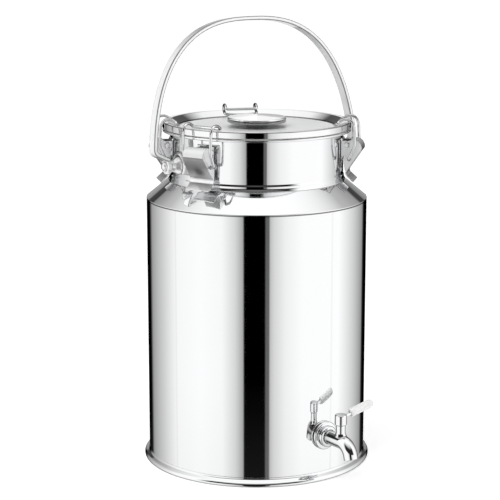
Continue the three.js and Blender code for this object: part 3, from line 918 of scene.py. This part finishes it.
def tap_sleeve():
    """A round-ended sleeve: each station is a distance along the arm and an inset in radius."""
    stations = [(13.3, 1.2), (13.35, 0.7), (13.7, 0.35), (14.4, 0.1), (15.5, 0), (26, 0),
                (40.2, 0), (41.6, 0.2), (42.8, 0.7), (43.6, 1.4), (44.0, 2.3), (44.15, 3.4)]
    path = [Vector((STEM_R, y, SLEEVE_A[1] + SLEEVE_SLOPE * (y - SLEEVE_A[0])))
            for y, _ in stations]
    return sweep_data(path, circle(1.0, 48), (1, 0, 0),
                      scales=[SLEEVE_R - inset for _, inset in stations])


piece("tap_sleeve", turn(tap_sleeve(), TAP_AZ), "tap_handle", MAT_SLEEVE,
      ["tap_sleeve"], angle=80)

# ---------------------------------------------------------------- floor, in metres
FLOOR_HALF = 12.0

view_az = math.radians(CAMERA_AZ)
back = Vector((math.sin(view_az), -math.cos(view_az), 0))
right = Vector((math.cos(view_az), math.sin(view_az), 0))

floor_mesh = bpy.data.meshes.new("floor")
corners = [(-FLOOR_HALF, -FLOOR_HALF, 0), (FLOOR_HALF, -FLOOR_HALF, 0),
           (FLOOR_HALF, FLOOR_HALF, 0), (-FLOOR_HALF, FLOOR_HALF, 0)]
floor_mesh.from_pydata(corners, [], [(0, 1, 2, 3)])
floor = bpy.data.objects.new("floor", floor_mesh)
bpy.context.scene.collection.objects.link(floor)
mat, nt, bsdf = new_material("floor_white")
bsdf.inputs["Base Color"].default_value = (0.95, 0.95, 0.95, 1)
bsdf.inputs["Roughness"].default_value = 0.9
bsdf.inputs["Emission Color"].default_value = (1, 1, 1, 1)
bsdf.inputs["Emission Strength"].default_value = 0.35
floor_mesh.materials.append(mat)
floor.visible_glossy = False

# ---------------------------------------------------------------- studio that the steel reflects
# Brightness of the surroundings by height and by azimuth. The azimuth is in degrees from the
# side that the camera stands on, and grows to the camera's right. The dark stretches are the
# black cards that draw the upright bands on the steel.
SIDES = [
    (-147, 0.04), (-141, 0.32), (-115, 0.61), (-92, 0.92), (-60, 0.97), (-36, 0.93), (-22, 0.67),
    (-14, 0.38), (-13.2, 0.0), (9, 0.0), (9.6, 0.115), (13, 0.115), (13.6, 0.5), (18, 0.66),
    (30, 0.86), (48, 0.97), (95, 0.98), (121, 0.62), (135, 0.41), (144, 0.28),
]
GAP_ABOVE = [
    (-112, 0.66), (-92, 0.97), (-66, 1.0), (-52, 0.02), (48, 0.02), (62, 1.0), (95, 1.0),
    (121, 0.68), (135, 0.46),
]
BELOW = 0.16
OVERHEAD = 1.0
STUDIO_STRENGTH = 1.08
BACKDROP_STRENGTH = 1.05

world = bpy.data.worlds.new("studio")
bpy.context.scene.world = world
world.use_nodes = True
wt = world.node_tree
wt.nodes.clear()


def wmath(op, a, b):
    """A maths node on the world: each input is a number or a socket."""
    node = wt.nodes.new("ShaderNodeMath")
    node.operation = op
    for i, v in enumerate((a, b)):
        if isinstance(v, (int, float)):
            node.inputs[i].default_value = v
        else:
            wt.links.new(v, node.inputs[i])
    return node.outputs[0]


coord = wt.nodes.new("ShaderNodeTexCoord")
sep = wt.nodes.new("ShaderNodeSeparateXYZ")
wt.links.new(coord.outputs["Generated"], sep.inputs[0])
x, y, z = sep.outputs
# turned into 0 to 1, with 0.5 straight at the camera's side
east = wmath("ADD", wmath("MULTIPLY", x, right.x), wmath("MULTIPLY", y, right.y))
south = wmath("ADD", wmath("MULTIPLY", x, back.x), wmath("MULTIPLY", y, back.y))
around = wmath("ADD", wmath("DIVIDE", wmath("ARCTAN2", east, south), 2 * math.pi), 0.5)


def panel_ramp(left, middle, right_side):
    """Brightness by azimuth for one range of heights."""
    stops = left + middle + right_side
    node = wt.nodes.new("ShaderNodeValToRGB")
    node.color_ramp.interpolation = "LINEAR"
    el = node.color_ramp.elements
    el.remove(el[0])
    el[0].position = 0.0
    el[0].color = (stops[0][1],) * 3 + (1,)
    for deg, v in stops[1:]:
        e = el.new(deg / 360.0 + 0.5)
        e.color = (v, v, v, 1)
    wt.links.new(around, node.inputs["Fac"])
    return node.outputs["Color"]


def blend(lower, upper, z0, z1):
    """Lower up to the height z0 of the direction, upper from z1, and a blend between."""
    span = wt.nodes.new("ShaderNodeMapRange")
    span.inputs["From Min"].default_value = z0
    span.inputs["From Max"].default_value = z1
    wt.links.new(z, span.inputs["Value"])
    node = wt.nodes.new("ShaderNodeMix")
    node.data_type = "RGBA"
    wt.links.new(span.outputs["Result"], node.inputs["Factor"])
    for socket, value in ((node.inputs["A"], lower), (node.inputs["B"], upper)):
        if isinstance(value, float):
            socket.default_value = (value, value, value, 1)
        else:
            wt.links.new(value, socket)
    return node.outputs["Result"]


low = panel_ramp(
    [(-180, 1.0), (-172.5, 1.0), (-171.5, 0.0), (-151, 0.0), (-149.5, 0.0)], SIDES,
    [(147, 0.03), (151, 0.0), (171.5, 0.0), (172.5, 1.0)])
mid = panel_ramp(
    [(-180, 0.85), (-172, 0.5), (-165, 0.32), (-158, 0.26), (-156.5, 0.0), (-152, 0.0)], SIDES,
    [(152, 0.0), (156.5, 0.0), (158, 0.22), (165, 0.28), (172, 0.5)])
high = panel_ramp(
    [(-180, 1.0), (-176, 0.9), (-172, 0.1), (-150.5, 0.04), (-149, 0.25), (-140, 0.4)], GAP_ABOVE,
    [(149, 0.3), (151, 0.04), (172, 0.1), (176, 0.9)])
over = panel_ramp(
    [(-180, 0.9), (-160, 0.85), (-150, 0.45)], GAP_ABOVE, [(152, 0.45), (160, 0.85)])
# the first blend starts below straight down, so the floor side never gets fully flat
sky = blend(BELOW, low, -1.4, -0.28)
sky = blend(sky, mid, -0.06, 0.0)
sky = blend(sky, high, 0.19, 0.25)
sky = blend(sky, over, 0.5, 0.69)
sky = blend(sky, OVERHEAD, 0.62, 0.97)

studio = wt.nodes.new("ShaderNodeBackground")
studio.inputs["Strength"].default_value = STUDIO_STRENGTH
wt.links.new(sky, studio.inputs["Color"])
plain = wt.nodes.new("ShaderNodeBackground")
plain.inputs["Strength"].default_value = BACKDROP_STRENGTH
plain.inputs["Color"].default_value = (1, 1, 1, 1)
path_kind = wt.nodes.new("ShaderNodeLightPath")
pick = wt.nodes.new("ShaderNodeMixShader")
wt.links.new(path_kind.outputs["Is Camera Ray"], pick.inputs["Fac"])
wt.links.new(studio.outputs[0], pick.inputs[1])
wt.links.new(plain.outputs[0], pick.inputs[2])
out = wt.nodes.new("ShaderNodeOutputWorld")
wt.links.new(pick.outputs[0], out.inputs["Surface"])

# ---------------------------------------------------------------- key light, in metres
KEY_POWER = 26.0
KEY_SIZE = 1.6
KEY_HEIGHT = 2.2
KEY_OUT = 0.9
KEY_AIM_HEIGHT = 0.2

key_data = bpy.data.lights.new("soft_key", "AREA")
key_data.energy = KEY_POWER
key_data.size = KEY_SIZE
key_data.shape = "SQUARE"
key_light = bpy.data.objects.new("soft_key", key_data)
bpy.context.scene.collection.objects.link(key_light)
key_light.location = Vector((0, 0, KEY_HEIGHT)) + back * KEY_OUT - right * KEY_OUT
key_aim = Vector((0, 0, KEY_AIM_HEIGHT)) - key_light.location
key_light.rotation_mode = "QUATERNION"
key_light.rotation_quaternion = key_aim.to_track_quat("-Z", "Y")
key_light.visible_glossy = False
key_light.visible_camera = False

# ---------------------------------------------------------------- camera, in metres and degrees
LENS_MM = 120.44
SENSOR_MM = 36.0
CAMERA_OUT = 1.8764
CAMERA_RIGHT = 0.00243
CAMERA_HEIGHT = 0.6292
CAMERA_PITCH = 11.718
CAMERA_PAN = 0.305

scene = bpy.context.scene
scene.view_settings.view_transform = "Standard"
cam_data = bpy.data.cameras.new("camera")
cam = bpy.data.objects.new("camera", cam_data)
scene.collection.objects.link(cam)
scene.camera = cam
cam_data.sensor_width = SENSOR_MM
cam_data.lens = LENS_MM
cam_data.clip_start = 0.05
cam_data.clip_end = 60.0
cam.location = back * CAMERA_OUT + right * CAMERA_RIGHT + Vector((0, 0, CAMERA_HEIGHT))
pitch, pan = math.radians(CAMERA_PITCH), math.radians(CAMERA_PAN)
aim = -back * math.cos(pitch) * math.cos(pan) - right * math.cos(pitch) * math.sin(pan)
aim += Vector((0, 0, -math.sin(pitch)))
cam.rotation_mode = "QUATERNION"
cam.rotation_quaternion = aim.to_track_quat("-Z", "Y")
